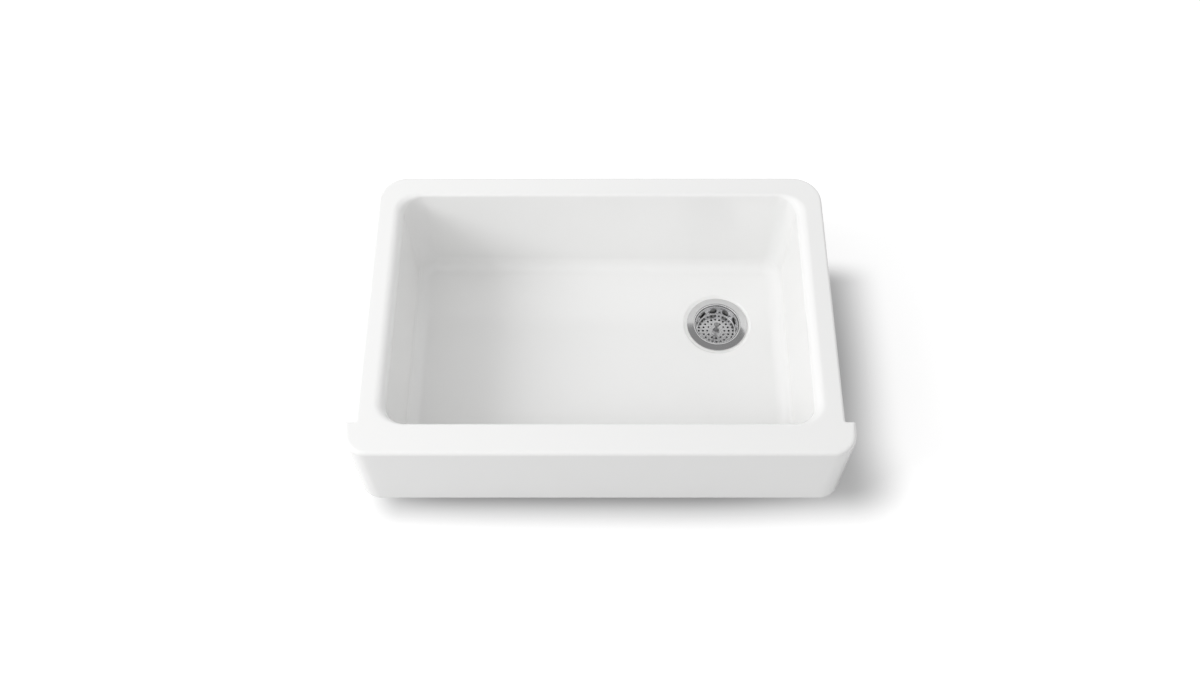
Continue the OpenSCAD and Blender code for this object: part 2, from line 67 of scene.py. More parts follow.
class SinkCastingSizes(bpy.types.PropertyGroup):
    """Sizes of the cast body."""

    rim_width: bpy.props.FloatProperty(
        name="Rim width",
        description="Width of the rim behind the apron",
        default=0.795,
        unit="LENGTH",
    )
    rim_radius: bpy.props.FloatProperty(
        name="Rim corner",
        description="Plan radius of the two rear corners",
        default=0.050,
        unit="LENGTH",
    )
    rim_thickness: bpy.props.FloatProperty(
        name="Rim thickness", description="Thickness of the rim", default=0.0085, unit="LENGTH"
    )
    rim_edge: bpy.props.FloatProperty(
        name="Rim edge",
        description="Rounding of the rim's outer edge",
        default=0.005,
        unit="LENGTH",
    )
    apron_edge: bpy.props.FloatProperty(
        name="Apron edge",
        description="Rounding along the top of the apron",
        default=0.0075,
        unit="LENGTH",
    )
    lip_height: bpy.props.FloatProperty(
        name="Lip height",
        description="Height of the lip turned down round the rim",
        default=0.019,
        unit="LENGTH",
    )
    apron_height: bpy.props.FloatProperty(
        name="Apron height", description="Height of the apron", default=0.184, unit="LENGTH"
    )
    apron_radius: bpy.props.FloatProperty(
        name="Apron corner",
        description="Plan radius of the two front corners",
        default=0.038,
        unit="LENGTH",
    )
    panel: bpy.props.FloatProperty(
        name="Panel",
        description="Thickness of the apron's panel and of the lip",
        default=0.0085,
        unit="LENGTH",
    )
    foot: bpy.props.FloatProperty(
        name="Foot",
        description="Rounding at the foot of the apron and the lip",
        default=0.0035,
        unit="LENGTH",
    )
    web: bpy.props.FloatProperty(
        name="Web",
        description="Length over which each wing's web runs out into the lip",
        default=0.035,
        unit="LENGTH",
    )
    web_fillet: bpy.props.FloatProperty(
        name="Web fillet",
        description="Rounding between a wing's back and its web",
        default=0.0025,
        unit="LENGTH",
    )
    side_rim: bpy.props.FloatProperty(
        name="Side rim",
        description="Width of the rim beside the bowl",
        default=0.0451,
        unit="LENGTH",
    )
    rear_rim: bpy.props.FloatProperty(
        name="Rear rim",
        description="Width of the rim behind the bowl",
        default=0.0393,
        unit="LENGTH",
    )
    bowl_set: bpy.props.FloatProperty(
        name="Bowl set",
        description="How far the bowl stands forward of the wings' backs",
        default=0.0027,
        unit="LENGTH",
    )
    bowl_depth: bpy.props.FloatProperty(
        name="Bowl depth",
        description="Depth of the bowl at the drain",
        default=0.229,
        unit="LENGTH",
    )
    wall: bpy.props.FloatProperty(
        name="Wall",
        description="Thickness of the bowl's walls and floor",
        default=0.0075,
        unit="LENGTH",
    )
    side_draft: bpy.props.FloatProperty(
        name="Side lean",
        description="Lean of the side walls",
        default=math.radians(1.4),
        unit="ROTATION",
    )
    front_draft: bpy.props.FloatProperty(
        name="Front lean",
        description="Lean of the front wall",
        default=math.radians(3.0),
        unit="ROTATION",
    )
    rear_draft: bpy.props.FloatProperty(
        name="Rear lean",
        description="Lean of the rear wall",
        default=math.radians(1.2),
        unit="ROTATION",
    )
    front_corner: bpy.props.FloatProperty(
        name="Front corner",
        description="Plan radius of the bowl's front corners",
        default=0.038,
        unit="LENGTH",
    )
    rear_corner: bpy.props.FloatProperty(
        name="Rear corner",
        description="Plan radius of the bowl's rear corners",
        default=0.034,
        unit="LENGTH",
    )
    cove: bpy.props.FloatProperty(
        name="Cove",
        description="Radius between the walls and the floor",
        default=0.027,
        unit="LENGTH",
    )
    roll: bpy.props.FloatProperty(
        name="Roll",
        description="Rounding where the walls roll over into the rim",
        default=0.006,
        unit="LENGTH",
    )
    side_roll: bpy.props.FloatProperty(
        name="Side roll",
        description="The same rounding at the two side walls",
        default=0.017,
        unit="LENGTH",
    )
    fall: bpy.props.FloatProperty(
        name="Fall",
        description="Fall of the floor to the drain, as a share of the run",
        default=0.018,
    )
    seat_radius: bpy.props.FloatProperty(
        name="Seat",
        description="Radius of the seat let into the floor",
        default=0.060,
        unit="LENGTH",
    )
    hole_radius: bpy.props.FloatProperty(
        name="Drain hole", description="Radius of the drain hole", default=0.046, unit="LENGTH"
    )
    boss_height: bpy.props.FloatProperty(
        name="Boss height",
        description="Thickness of the boss under the seat",
        default=0.013,
        unit="LENGTH",
    )
    boss_radius: bpy.props.FloatProperty(
        name="Boss radius",
        description="Radius of the boss's flat underside",
        default=0.06215,
        unit="LENGTH",
    )


class SinkFinishes(bpy.types.PropertyGroup):
    """Colours of the finishes."""

    enamel: bpy.props.FloatVectorProperty(
        name="Enamel",
        description="White vitreous enamel",
        size=3,
        subtype="COLOR",
        default=(0.925, 0.925, 0.92),
    )
    ground_coat: bpy.props.FloatVectorProperty(
        name="Ground coat",
        description="Grey coat on the hidden side of the casting",
        size=3,
        subtype="COLOR",
        default=(0.20, 0.205, 0.21),
    )
    plate: bpy.props.FloatVectorProperty(
        name="Plate",
        description="Turned and plated strainer body",
        size=3,
        subtype="COLOR",
        default=(0.72, 0.72, 0.725),
    )
    # Darker than the plate: partly the cup's dull unplated skin, partly painted shade inside the
    # cup
    inside: bpy.props.FloatVectorProperty(
        name="Inside",
        description="Dull skin of the strainer's cup",
        size=3,
        subtype="COLOR",
        default=(0.36, 0.36, 0.355),
    )
    stainless: bpy.props.FloatVectorProperty(
        name="Stainless",
        description="Pressed stainless steel of the basket",
        size=3,
        subtype="COLOR",
        default=(0.72, 0.72, 0.73),
    )
    turned: bpy.props.FloatVectorProperty(
        name="Turned",
        description="Turned stainless post, knob and nut",
        size=3,
        subtype="COLOR",
        default=(0.42, 0.42, 0.425),
    )
    brass: bpy.props.FloatVectorProperty(
        name="Brass",
        description="Cast brass nuts",
        size=3,
        subtype="COLOR",
        default=(0.72, 0.52, 0.26),
    )
    rubber: bpy.props.FloatVectorProperty(
        name="Rubber",
        description="Stopper and gasket",
        size=3,
        subtype="COLOR",
        default=(0.018, 0.018, 0.019),
    )
    seal: bpy.props.FloatVectorProperty(
        name="Seal",
        description="Soft seal under the flange",
        size=3,
        subtype="COLOR",
        default=(0.42, 0.39, 0.34),
    )
    fibre: bpy.props.FloatVectorProperty(
        name="Fibre",
        description="Pressed fibre ring",
        size=3,
        subtype="COLOR",
        default=(0.34, 0.20, 0.10),
    )
    nylon: bpy.props.FloatVectorProperty(
        name="Nylon", description="Slip washer", size=3, subtype="COLOR", default=(0.78, 0.77, 0.71)
    )


class SinkStage(bpy.types.PropertyGroup):
    """Floor, lamps and camera."""

    floor_drop: bpy.props.FloatProperty(
        name="Floor drop",
        description="Depth of the floor below the rim",
        default=0.2455,
        unit="LENGTH",
    )
    opening_width: bpy.props.FloatProperty(
        name="Opening width",
        description="Width of the floor's opening under the bowl",
        default=0.56,
        unit="LENGTH",
    )
    opening_depth: bpy.props.FloatProperty(
        name="Opening depth",
        description="Depth of the floor's opening under the bowl",
        default=0.285,
        unit="LENGTH",
    )
    opening_middle: bpy.props.FloatProperty(
        name="Opening middle",
        description="How far the opening's middle lies behind the wings",
        default=0.2275,
        unit="LENGTH",
    )
    floor_radius: bpy.props.FloatProperty(
        name="Floor radius", description="Radius of the round floor", default=9.0, unit="LENGTH"
    )
    sky: bpy.props.FloatProperty(
        name="Sky", description="Strength of the plain surroundings", default=0.845
    )
    overhead: bpy.props.FloatProperty(
        name="Overhead", description="Strength of the sky overhead", default=0.30
    )
    right: bpy.props.FloatProperty(
        name="Right",
        description="Share of the sky's light left low down at the right",
        default=0.08,
    )
    key: bpy.props.FloatProperty(
        name="Key lamp", description="Power of the lamp at the left", default=67.5
    )
    bounce: bpy.props.FloatProperty(
        name="Bounce",
        description="How much of its light the floor gives back to the sink",
        default=0.45,
    )
    # Painted light: outside the painted shadow window the floor glows white over its cast shadow
    glow: bpy.props.FloatProperty(
        name="Glow",
        description="How far the open floor is lifted towards white for the camera",
        default=0.58,
    )


# ---- Meshes worked out on grids


def grid_faces(rows, columns, wrap_rows, wrap_columns):
    """Corner numbers of the quads of a grid of rows by columns: each corner joins its right, its
    upper right and its upper neighbour, and the last row or column joins the first where that way
    is closed."""
    across = np.arange(columns if wrap_columns else columns - 1)
    up = np.arange(rows if wrap_rows else rows - 1)
    row, column = np.meshgrid(up, across, indexing="ij")
    next_row, next_column = (row + 1) % rows, (column + 1) % columns
    corners = [row * columns + column, next_row * columns + column,
               next_row * columns + next_column, row * columns + next_column]
    return np.stack([c.ravel() for c in corners], axis=1)


def make_piece(name, points, faces, material, body, attributes=None):
    """A smooth shaded object from points and quads, riding on a CAD body."""
    mesh = bpy.data.meshes.new(name)
    mesh.vertices.add(len(points))
    mesh.vertices.foreach_set("co", np.ascontiguousarray(points, np.float32).ravel())
    mesh.loops.add(faces.size)
    mesh.loops.foreach_set("vertex_index", faces.astype(np.int32).ravel())
    mesh.polygons.add(len(faces))
    starts = np.arange(0, faces.size, faces.shape[1], dtype=np.int32)
    mesh.polygons.foreach_set("loop_start", starts)
    mesh.update(calc_edges=True)
    for label, values in (attributes or {}).items():
        layer = mesh.attributes.new(label, "FLOAT", "POINT")
        layer.data.foreach_set("value", np.ascontiguousarray(values, np.float32))
    mesh.polygons.foreach_set("use_smooth", np.ones(len(faces), bool))
    mesh.materials.append(material)
    mesh.validate()
    piece = bpy.data.objects.new(name, mesh)
    bpy.context.scene.collection.objects.link(piece)
    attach(piece, body)
    return piece


def both_sides(half):
    """A half ring of points from front to rear, completed by its mirror image in X."""
    mirrored = half[-2:0:-1].copy()
    mirrored[:, 0] *= -1
    return np.concatenate([half, mirrored])


def at_height(ring, z):
    """A ring of plan points lifted to height z, one number or one for each point."""
    return np.column_stack([ring, np.broadcast_to(z, len(ring))])


def between(first, last, steps, margin):
    """Rings on the straight lines from first to last: first + share * (last - first), for shares in
    even steps from 0 to 1 and one more share a small margin inside each end."""
    inner = np.linspace(0, 1, steps + 1)[1:-1]
    inner = inner[(inner > margin) & (inner < 1 - margin)]
    shares = np.concatenate([[0, margin], inner, [1 - margin, 1]])
    return [first + share * (last - first) for share in shares]


def quarter(steps):
    """Angles from 0 to a right angle."""
    return np.linspace(0, math.pi / 2, steps + 1)


def rounding(steps):
    """Along a quarter round, as shares of its radius: how far it has left its first side, 1 - cos,
    and how far it still is from its second, 1 - sin."""
    return [(1 - math.cos(angle), 1 - math.sin(angle)) for angle in quarter(steps)]


# ---- The casting

# Columns of the skin along half its outline, from the middle of the front to the middle of the rear
FRONT_COLUMNS, ARC_COLUMNS, WING_COLUMNS, FILLET_COLUMNS = 18, 16, 8, 4
CORNER_COLUMNS, SIDE_COLUMNS, REAR_COLUMNS = 20, 26, 24
# Degrees of the bowl's front corner opposite the wing's back, the notch's fillet and the web
WING_BEND, FILLET_BEND, WEB_BEND = (4.0, 11.0), (13.0, 30.0), (33.0, 90.0)
FRONT_SHARE = 0.82  # share of the bowl's front opposite the straight part of the apron

FOOT_GROWTH = 0.002  # how much the bowl's corners widen down to the cove
SMALLEST_CORNER, SMALLEST_WING = 0.002, 0.0004  # least radii that a corner and a wing's back keep
RECESS_WIDTH = 0.005  # width of the smooth step from the floor to the seat
SOFT_STEPS = np.linspace(0, 1, 7)  # shares along the recess's and the boss's slopes
BOSS_SPREAD = 0.010  # width of the boss's sloping side
INNER_FILLET = 0.004  # rounding under the rim, behind the lip and round the bowl
INNER_FOOT = 0.0015  # rounding at the back of the apron's foot
BARE_RINGS, BARE_REACH = 4, 0.02  # rings in the drain hole that count as this far past the enamel


class Casting:
    """Rings of the casting's skin: from the drain hole up the bowl, over the rim and back below."""

    def __init__(self, sizes):
        self.s = sizes
        self.apron_width = CASTING_HIGH.x - CASTING_LOW.x
        self.apron_depth = -CASTING_LOW.y
        self.rim_depth = CASTING_HIGH.y
        self.bowl_x = sizes.rim_width / 2 - sizes.side_rim
        self.bowl_front = -sizes.bowl_set
        self.bowl_rear = self.rim_depth - sizes.rear_rim
        self.wall_height = sizes.bowl_depth - sizes.roll - sizes.cove
        self.plan_columns()
        self.roll = sizes.roll + (sizes.side_roll - sizes.roll) * np.cos(self.angle) ** 2
        self.floor_edge = self.bowl_plan(-sizes.cove, 1.0)
        self.floor_heights = self.floor_height(self.floor_edge)
        from_drain = self.floor_edge - DRAIN
        self.bearing = np.arctan2(from_drain[:, 1], from_drain[:, 0])

    def plan_columns(self):
        """For every column: its share along the front or rear, its share from front to rear, its
        corner's angle, whether the rear radius holds, and its side, 1 right and -1 left. The front
        corner's columns stand opposite the wing's back, the fillet in the notch and the web."""
        front = FRONT_SHARE * np.arange(FRONT_COLUMNS) / FRONT_COLUMNS
        near = np.linspace(FRONT_SHARE, 1, ARC_COLUMNS + 1)
        counts = (WING_COLUMNS + 1, FILLET_COLUMNS + 1, CORNER_COLUMNS)
        bends = (WING_BEND, FILLET_BEND, WEB_BEND)
        arcs = [np.linspace(*ends, count) for ends, count in zip(bends, counts)]
        bend = np.radians(np.concatenate(arcs))
        corner = quarter(CORNER_COLUMNS)
        side = np.arange(1, SIDE_COLUMNS) / SIDE_COLUMNS
        rear = 1 - np.arange(1, REAR_COLUMNS + 1) / REAR_COLUMNS
        straight, first, run = len(front) + len(near), len(bend), len(side)
        second, back = len(corner), len(rear)
        right = math.pi / 2
        along = front, near, np.ones(first + run + second), rear
        depth = np.zeros(straight + first), side, np.ones(second + back)
        angle = (
            np.full(straight, -right), bend - right, np.zeros(run), corner, np.full(back, right)
        )
        is_rear = np.zeros(straight + first + run), np.ones(second + back)
        half = np.stack([np.concatenate(parts) for parts in (along, depth, angle, is_rear)])
        self.along, self.depth, self.angle, self.is_rear = np.concatenate(
            [half, half[:, -2:0:-1]], axis=1
        )
        columns = half.shape[1]
        self.side = np.concatenate([np.ones(columns), -np.ones(columns - 2)])

    def bowl_plan(self, grow, t):
        """The bowl's outline grown by grow, at share t down the wall: a rectangle whose sides lean
        in by the tangent of their draft times the depth, with corner arcs that widen a little
        downwards."""
        s = self.s
        down = self.wall_height * t
        x = self.bowl_x - math.tan(s.side_draft) * down + grow
        front = self.bowl_front + math.tan(s.front_draft) * down - grow
        rear = self.bowl_rear - math.tan(s.rear_draft) * down + grow
        front_r = np.maximum(s.front_corner + FOOT_GROWTH * t + grow, SMALLEST_CORNER)
        rear_r = np.maximum(s.rear_corner + FOOT_GROWTH * t + grow, SMALLEST_CORNER)
        r = np.where(self.is_rear > 0.5, rear_r, front_r)
        across = self.side * ((x - r) * self.along + r * np.cos(self.angle))
        first, last = front + front_r, rear - rear_r
        back = first + (last - first) * self.depth + r * np.sin(self.angle)
        return np.column_stack([across, back])

    def bowl_ring(self, grow, z):
        """The bowl's outline grown by grow at height z, one number or one for each column."""
        z = np.broadcast_to(z, self.along.shape)
        return at_height(self.bowl_plan(grow, (-self.s.roll - z) / self.wall_height), z)

    def cove_ring(self, grow, angle):
        """The cove, angle round from the wall: the wall's foot drawn in by r(1 - cos) and lowered
        by r sin."""
        foot = self.floor_heights + self.s.cove
        r = self.s.cove + grow
        share = (-self.s.roll - foot) / self.wall_height
        plan = self.bowl_plan(grow - r * (1 - math.cos(angle)), share)
        return at_height(plan, foot - r * math.sin(angle))

    def floor_height(self, plan):
        """The floor falls to the drain in proportion to the distance from the recess's edge."""
        distance = np.hypot(plan[:, 0] - DRAIN[0], plan[:, 1] - DRAIN[1])
        run = distance - self.s.seat_radius - RECESS_WIDTH
        return -self.s.bowl_depth + self.s.fall * np.maximum(run, 0)

    def drain_ring(self, r, z):
        """A circle round the drain, each point on the bearing of its column."""
        plan = DRAIN + r * np.column_stack([np.cos(self.bearing), np.sin(self.bearing)])
        return at_height(plan, z)

    def outline(self, inset):
        """The apron, wings and rim in plan, drawn in by inset: arcs at the apron's ends and the
        wings' backs, a hollow fillet in each notch, then the sides and rear of the rim."""
        s, d = self.s, inset
        half_apron, half_rim = self.apron_width / 2, s.rim_width / 2
        end_x, end_y = half_apron - s.apron_radius, s.apron_radius - self.apron_depth
        rim_x, rim_y = half_rim - s.rim_radius, self.rim_depth - s.rim_radius
        apron_r, rim_r = s.apron_radius - d, s.rim_radius - d
        wing_r, hollow_r = max(s.foot - d, SMALLEST_WING), s.web_fillet + d
        arc = quarter(ARC_COLUMNS) - math.pi / 2
        wing, hollow, turn = quarter(WING_COLUMNS), quarter(FILLET_COLUMNS), quarter(CORNER_COLUMNS)
        web = np.linspace(s.web_fillet, s.web, CORNER_COLUMNS + 1)[1:]
        sides = np.linspace(s.web, rim_y, SIDE_COLUMNS + 1)[1:-1]
        front = end_x * np.arange(FRONT_COLUMNS) / FRONT_COLUMNS
        rear = rim_x * (1 - np.arange(1, REAR_COLUMNS + 1) / REAR_COLUMNS)
        parts = [
            (front, np.full(FRONT_COLUMNS, d - self.apron_depth)),
            (end_x + apron_r * np.cos(arc), end_y + apron_r * np.sin(arc)),
            (half_apron - d - wing_r * (1 - np.cos(wing)), -d - wing_r * (1 - np.sin(wing))),
            (
                half_rim + s.web_fillet - hollow_r * np.sin(hollow),
                s.web_fillet - hollow_r * np.cos(hollow),
            ),
            (np.full(len(web), half_rim - d), web),
            (np.full(len(sides), half_rim - d), sides),
            (rim_x + rim_r * np.cos(turn), rim_y + rim_r * np.sin(turn)),
            (rear, np.full(REAR_COLUMNS, self.rim_depth - d)),
        ]
        return both_sides(np.column_stack([np.concatenate(p) for p in zip(*parts)]))

    def edge_ring(self, inset, down):
        """A ring on the rounded outer edge, drawn in and lowered by these shares of the edge's
        radius, which grows from the rim's to the apron's from the wings' backs forward."""
        s = self.s
        front = np.clip(self.outline(0.0)[:, 1:] / (s.apron_radius - self.apron_depth), 0, 1)
        rim, apron = self.outline(s.rim_edge * inset), self.outline(s.apron_edge * inset)
        radius = s.rim_edge + (s.apron_edge - s.rim_edge) * front[:, 0]
        return at_height((1 - front) * rim + front * apron, -down * radius)

    def skirt(self):
        """How far the outside hangs below the rim in each column: the apron's height along the
        front, then a quarter sine down the web of the wing into the lip."""
        s, plan = self.s, self.outline(0.0)
        behind = np.clip(plan[:, 1] / s.web, 0, 1)
        drop = s.apron_height + (s.lip_height - s.apron_height) * np.sin(behind * math.pi / 2)
        on_web = np.abs(plan[:, 0]) <= s.rim_width / 2 + s.web_fillet
        return np.where(on_web | (behind <= 0), drop, s.apron_height)

    def rings(self):
        """All rings in order, and the number of the ring where the enamel ends."""
        rings = self.floor_rings() + self.wall_rings()
        rings += self.outer_rings(rings[-1])
        enamel_end = len(rings)
        rings += self.hidden_rings()
        return np.array(rings), enamel_end

    def floor_rings(self):
        """Up the drain hole, over the seat, up the recess by a smooth step, t * t * (3 - 2t) of its
        height, and over the falling floor to the cove."""
        s = self.s
        foot, head = (self.drain_ring(s.hole_radius, z) for z in (SEAT_Z - s.boss_height, SEAT_Z))
        bore = between(foot, head, steps=3, margin=0.04)
        across = np.linspace(s.hole_radius, s.seat_radius, 4)[1:-1]
        seat = [self.drain_ring(r, SEAT_Z) for r in across]
        step = -s.bowl_depth - SEAT_Z
        recess = [
            self.drain_ring(s.seat_radius + RECESS_WIDTH * t, SEAT_Z + step * t * t * (3 - 2 * t))
            for t in SOFT_STEPS
        ]
        flat = between(recess[-1], self.cove_ring(0, math.pi / 2), steps=14, margin=0.01)[1:-1]
        floor = [at_height(ring[:, :2], self.floor_height(ring[:, :2])) for ring in flat]
        return bore + seat + recess + floor

    def wall_rings(self):
        """Up the cove and the leaning walls, and over the roll at the mouth."""
        cove = [self.cove_ring(0, angle) for angle in quarter(16)[::-1]]
        wall = between(cove[-1], self.bowl_ring(0, -self.roll), steps=12, margin=0.01)[1:-1]
        roll = [self.bowl_ring(self.roll * off, -self.roll * left) for off, left in rounding(10)]
        return cove + wall + roll

    def outer_rings(self, mouth):
        """From the ring at the mouth over the rim and its rounded edge, down the outside and round
        its foot."""
        foot, skirt = self.s.foot, self.skirt()
        deck = between(mouth, self.edge_ring(1, 0), steps=8, margin=0.02)[1:-1]
        edge = [self.edge_ring(left, off) for off, left in rounding(7)]
        face = between(edge[-1], at_height(self.outline(0), foot - skirt), steps=12, margin=0.02)
        bend = [
            at_height(self.outline(foot * off), foot * left - skirt) for off, left in rounding(6)
        ]
        return deck + edge + face[1:-1] + bend

    def hidden_rings(self):
        """Up the skirt's back, under the rim, down the bowl's outside and over the boss to the
        drain hole."""
        s, skirt, fillet = self.s, self.skirt(), INNER_FILLET
        rim_z, floor_z, boss_z = -s.rim_thickness, -s.bowl_depth - s.wall, SEAT_Z - s.boss_height
        rings = [
            at_height(self.outline(s.panel - INNER_FOOT * left), INNER_FOOT * off - skirt)
            for off, left in rounding(4)
        ]
        top = at_height(self.outline(s.panel), rim_z - fillet)
        rings += between(rings[-1], top, steps=10, margin=0.02)[1:-1]
        rings += [
            at_height(self.outline(s.panel + fillet * off), rim_z - fillet * left)
            for off, left in rounding(5)
        ]
        beside = self.bowl_ring(s.wall + fillet, rim_z)
        rings += between(rings[-1], beside, steps=4, margin=0.03)[1:-1]
        rings += [
            self.bowl_ring(s.wall + fillet * left, rim_z - fillet * off)
            for off, left in rounding(5)
        ]
        cove = [self.cove_ring(s.wall, angle) for angle in quarter(12)]
        rings += between(rings[-1], cove[0], steps=10, margin=0.01)[1:-1] + cove
        boss_edge = self.drain_ring(s.boss_radius + BOSS_SPREAD, floor_z)
        rings += between(rings[-1], boss_edge, steps=8, margin=0.01)[1:-1]
        drop = boss_z + s.bowl_depth + s.wall
        rings += [
            self.drain_ring(s.boss_radius + BOSS_SPREAD * (1 - t), floor_z + drop * t)
            for t in SOFT_STEPS
        ]
        across = np.linspace(s.boss_radius, s.hole_radius, 5)[1:-1]
        return rings + [self.drain_ring(r, boss_z) for r in across]

    def coat(self, rings, enamel_end):
        """Distance past the end of the enamel along each column, in metres: the sum of the steps
        from ring to ring, less the sum up to the enamel's end, so below 0 on the enamel."""
        steps = np.linalg.norm(np.diff(rings, axis=0), axis=2)
        reach = np.concatenate([np.zeros((1, rings.shape[1])), np.cumsum(steps, axis=0)])
        past = reach - reach[enamel_end]
        past[:BARE_RINGS] = BARE_REACH
        return past


# ---- Finishes


class Recipe:
    """A node material in the making: adds nodes by type and links them by socket name."""

    def __init__(self, name):
        self.material = bpy.data.materials.new(name)
        self.material.use_nodes = True
        self.tree = self.material.node_tree
        self.tree.nodes.clear()
        self.shader = self.add("ShaderNodeBsdfPrincipled")
        out = self.add("ShaderNodeOutputMaterial")
        self.tree.links.new(self.shader.outputs["BSDF"], out.inputs["Surface"])

    def add(self, kind, inputs=None, **settings):
        """A new node of this type with its settings and inputs."""
        node = self.tree.nodes.new(kind)
        for key, value in settings.items():
            setattr(node, key, value)
        for key, value in (inputs or {}).items():
            self.put(node, key, value)
        return node

    def put(self, node, key, value):
        """Sets an input to a value, or links another node's output to it."""
        socket = node.inputs[key]
        if isinstance(value, bpy.types.NodeSocket):
            self.tree.links.new(value, socket)
        elif socket.type == "RGBA":
            socket.default_value = (*value, 1.0)
        else:
            socket.default_value = value

    def set(self, **values):
        """Shader inputs by name, with _ for a space."""
        for key, value in values.items():
            self.put(self.shader, key.replace("_", " "), value)

    def math(self, operation, a, b=0.0):
        """The result of an operation on one or two values."""
        return self.add("ShaderNodeMath", {0: a, 1: b}, operation=operation).outputs[0]

    def place(self, centre=(0, 0, 0)):
        """The object's own coordinates, in metres, measured from centre."""
        spot = self.add("ShaderNodeTexCoord").outputs["Object"]
        moved = self.add("ShaderNodeVectorMath", {0: spot, 1: centre}, operation="SUBTRACT")
        return moved.outputs[0]

    def noise(self, where, scale, detail=2.0, roughness=0.5):
        """Cloudy values about 0.5, scale per metre."""
        inputs = {"Vector": where, "Scale": scale, "Detail": detail, "Roughness": roughness}
        return self.add("ShaderNodeTexNoise", inputs).outputs["Fac"]

    def stretch(self, value, low, high, start, end, smooth=False):
        """Value from the range low to high, moved to the range start to end and held there."""
        inputs = {"Value": value, "From Min": low, "From Max": high, "To Min": start, "To Max": end}
        way = "SMOOTHSTEP" if smooth else "LINEAR"
        return self.add("ShaderNodeMapRange", inputs, interpolation_type=way).outputs["Result"]

    def blend(self, share, first, second):
        """A colour between two, by share."""
        node = self.add("ShaderNodeMix", data_type="RGBA")
        for index, value in ((0, share), (6, first), (7, second)):
            if isinstance(value, bpy.types.NodeSocket):
                self.tree.links.new(value, node.inputs[index])
            else:
                node.inputs[index].default_value = (*value, 1.0) if index else value
        return node.outputs[2]

    def bump(self, height, depth):
        """Bump of that depth in metres, on the shader's normal."""
        node = self.add("ShaderNodeBump", {"Height": height, "Strength": 1.0, "Distance": depth})
        self.put(self.shader, "Normal", node.outputs["Normal"])


ENAMEL_ROUGHNESS, COAT_ROUGHNESS, ENAMEL_IOR = 0.11, 0.62, 1.52
ENAMEL_FADE = (-0.0006, 0.0010)  # where the enamel thins out, in metres past its end
RAGGED = 0.010  # how far the enamel's end wanders
SPRAY, SPRAY_SHARE = 0.06, 0.55  # how far specks of enamel reach past it, and how full they are
SKIN_DEPTH = 0.0004  # depth of the skin's bump, in metres
PEEL_SHARE, CAST_SHARE = 0.03, 2.2  # how much of it the orange peel and the sandy coat take


def enamel_finish(colours):
    """Glassy white enamel with a faint orange peel, which ends in a ragged line on the hidden
    side's grey coat."""
    r = Recipe("enamel")
    where = r.place()
    coat = r.add("ShaderNodeAttribute", attribute_name="coat", attribute_type="GEOMETRY")
    past = coat.outputs["Fac"]
    wander = r.math("SUBTRACT", r.noise(where, scale=90.0, detail=3.0), 0.5)
    ragged = r.math("MULTIPLY", wander, RAGGED)
    hidden = r.stretch(r.math("ADD", past, ragged), *ENAMEL_FADE, 0.0, 1.0, smooth=True)
    specks = r.stretch(r.noise(where, scale=420.0), 0.60, 0.66, 0.0, 1.0)
    spray = r.math("MULTIPLY", specks, r.stretch(past, 0.0, SPRAY, SPRAY_SHARE, 0.0))
    hidden = r.math("MULTIPLY", hidden, r.math("SUBTRACT", 1.0, spray))
    cast = r.noise(where, scale=260.0, detail=4.0, roughness=0.6)
    dark_coat = [0.8 * c for c in colours.ground_coat]
    grey = r.blend(r.stretch(cast, 0.3, 0.7, 0.0, 1.0), dark_coat, colours.ground_coat)
    r.set(Base_Color=r.blend(hidden, colours.enamel, grey))
    r.set(Roughness=r.stretch(hidden, 0.0, 1.0, ENAMEL_ROUGHNESS, COAT_ROUGHNESS), IOR=ENAMEL_IOR)
    peel = r.math("MULTIPLY", r.noise(where, scale=150.0, detail=1.0), PEEL_SHARE)
    sand = r.math("MULTIPLY", hidden, r.math("MULTIPLY", cast, CAST_SHARE))
    r.bump(r.math("ADD", peel, sand), SKIN_DEPTH)
    return r.material


# Turned and pressed metals: least and greatest roughness, and how close the rings stand, per metre
PLATE, PRESSED, TURNED = (0.07, 0.12, 2400.0), (0.16, 0.28, 1500.0), (0.28, 0.40, 3000.0)


def turned_finish(name, colour, low, high, grain):
    """Turned metal: fine rings round the drain's axis, whose shine wanders a little. Its recipe is
    returned, for a finish that adds to it."""
    r = Recipe(name)
    where = r.place(DRAIN_FOOT)
    parts = r.add("ShaderNodeSeparateXYZ", {0: where})
    flat = r.add("ShaderNodeCombineXYZ", {0: parts.outputs[0], 1: parts.outputs[1]}).outputs[0]
    radius = r.add("ShaderNodeVectorMath", {0: flat}, operation="LENGTH").outputs["Value"]
    rings = r.add("ShaderNodeCombineXYZ", {0: radius, 1: parts.outputs[2]}).outputs[0]
    lines = r.noise(rings, grain, detail=3.0, roughness=0.7)
    cloud = r.noise(where, scale=60.0)
    r.set(Base_Color=r.blend(lines, [0.94 * c for c in colour], colour), Metallic=1.0)
    shine = r.math("ADD", r.math("MULTIPLY", lines, 0.6), r.math("MULTIPLY", cloud, 0.4))
    r.set(Roughness=r.stretch(shine, 0.35, 0.65, low, high))
    r.bump(lines, depth=0.00004)
    return r


THREAD_PITCH, THREAD_DEPTH = 0.0018, 0.0004
# Least radius, foot and top of each thread
THREADS = ((0.0435, -0.2645, SEAT_Z), (0.0235, -0.2984, -0.2845))
POLISH_FADE = (0.0012, 0.0004)  # how far below the seat the polish begins to fade in, and is full; below it the cup's darker colour is partly painted shade
CUP_ROUGHNESS, FLANGE_ROUGHNESS = 0.42, 0.09


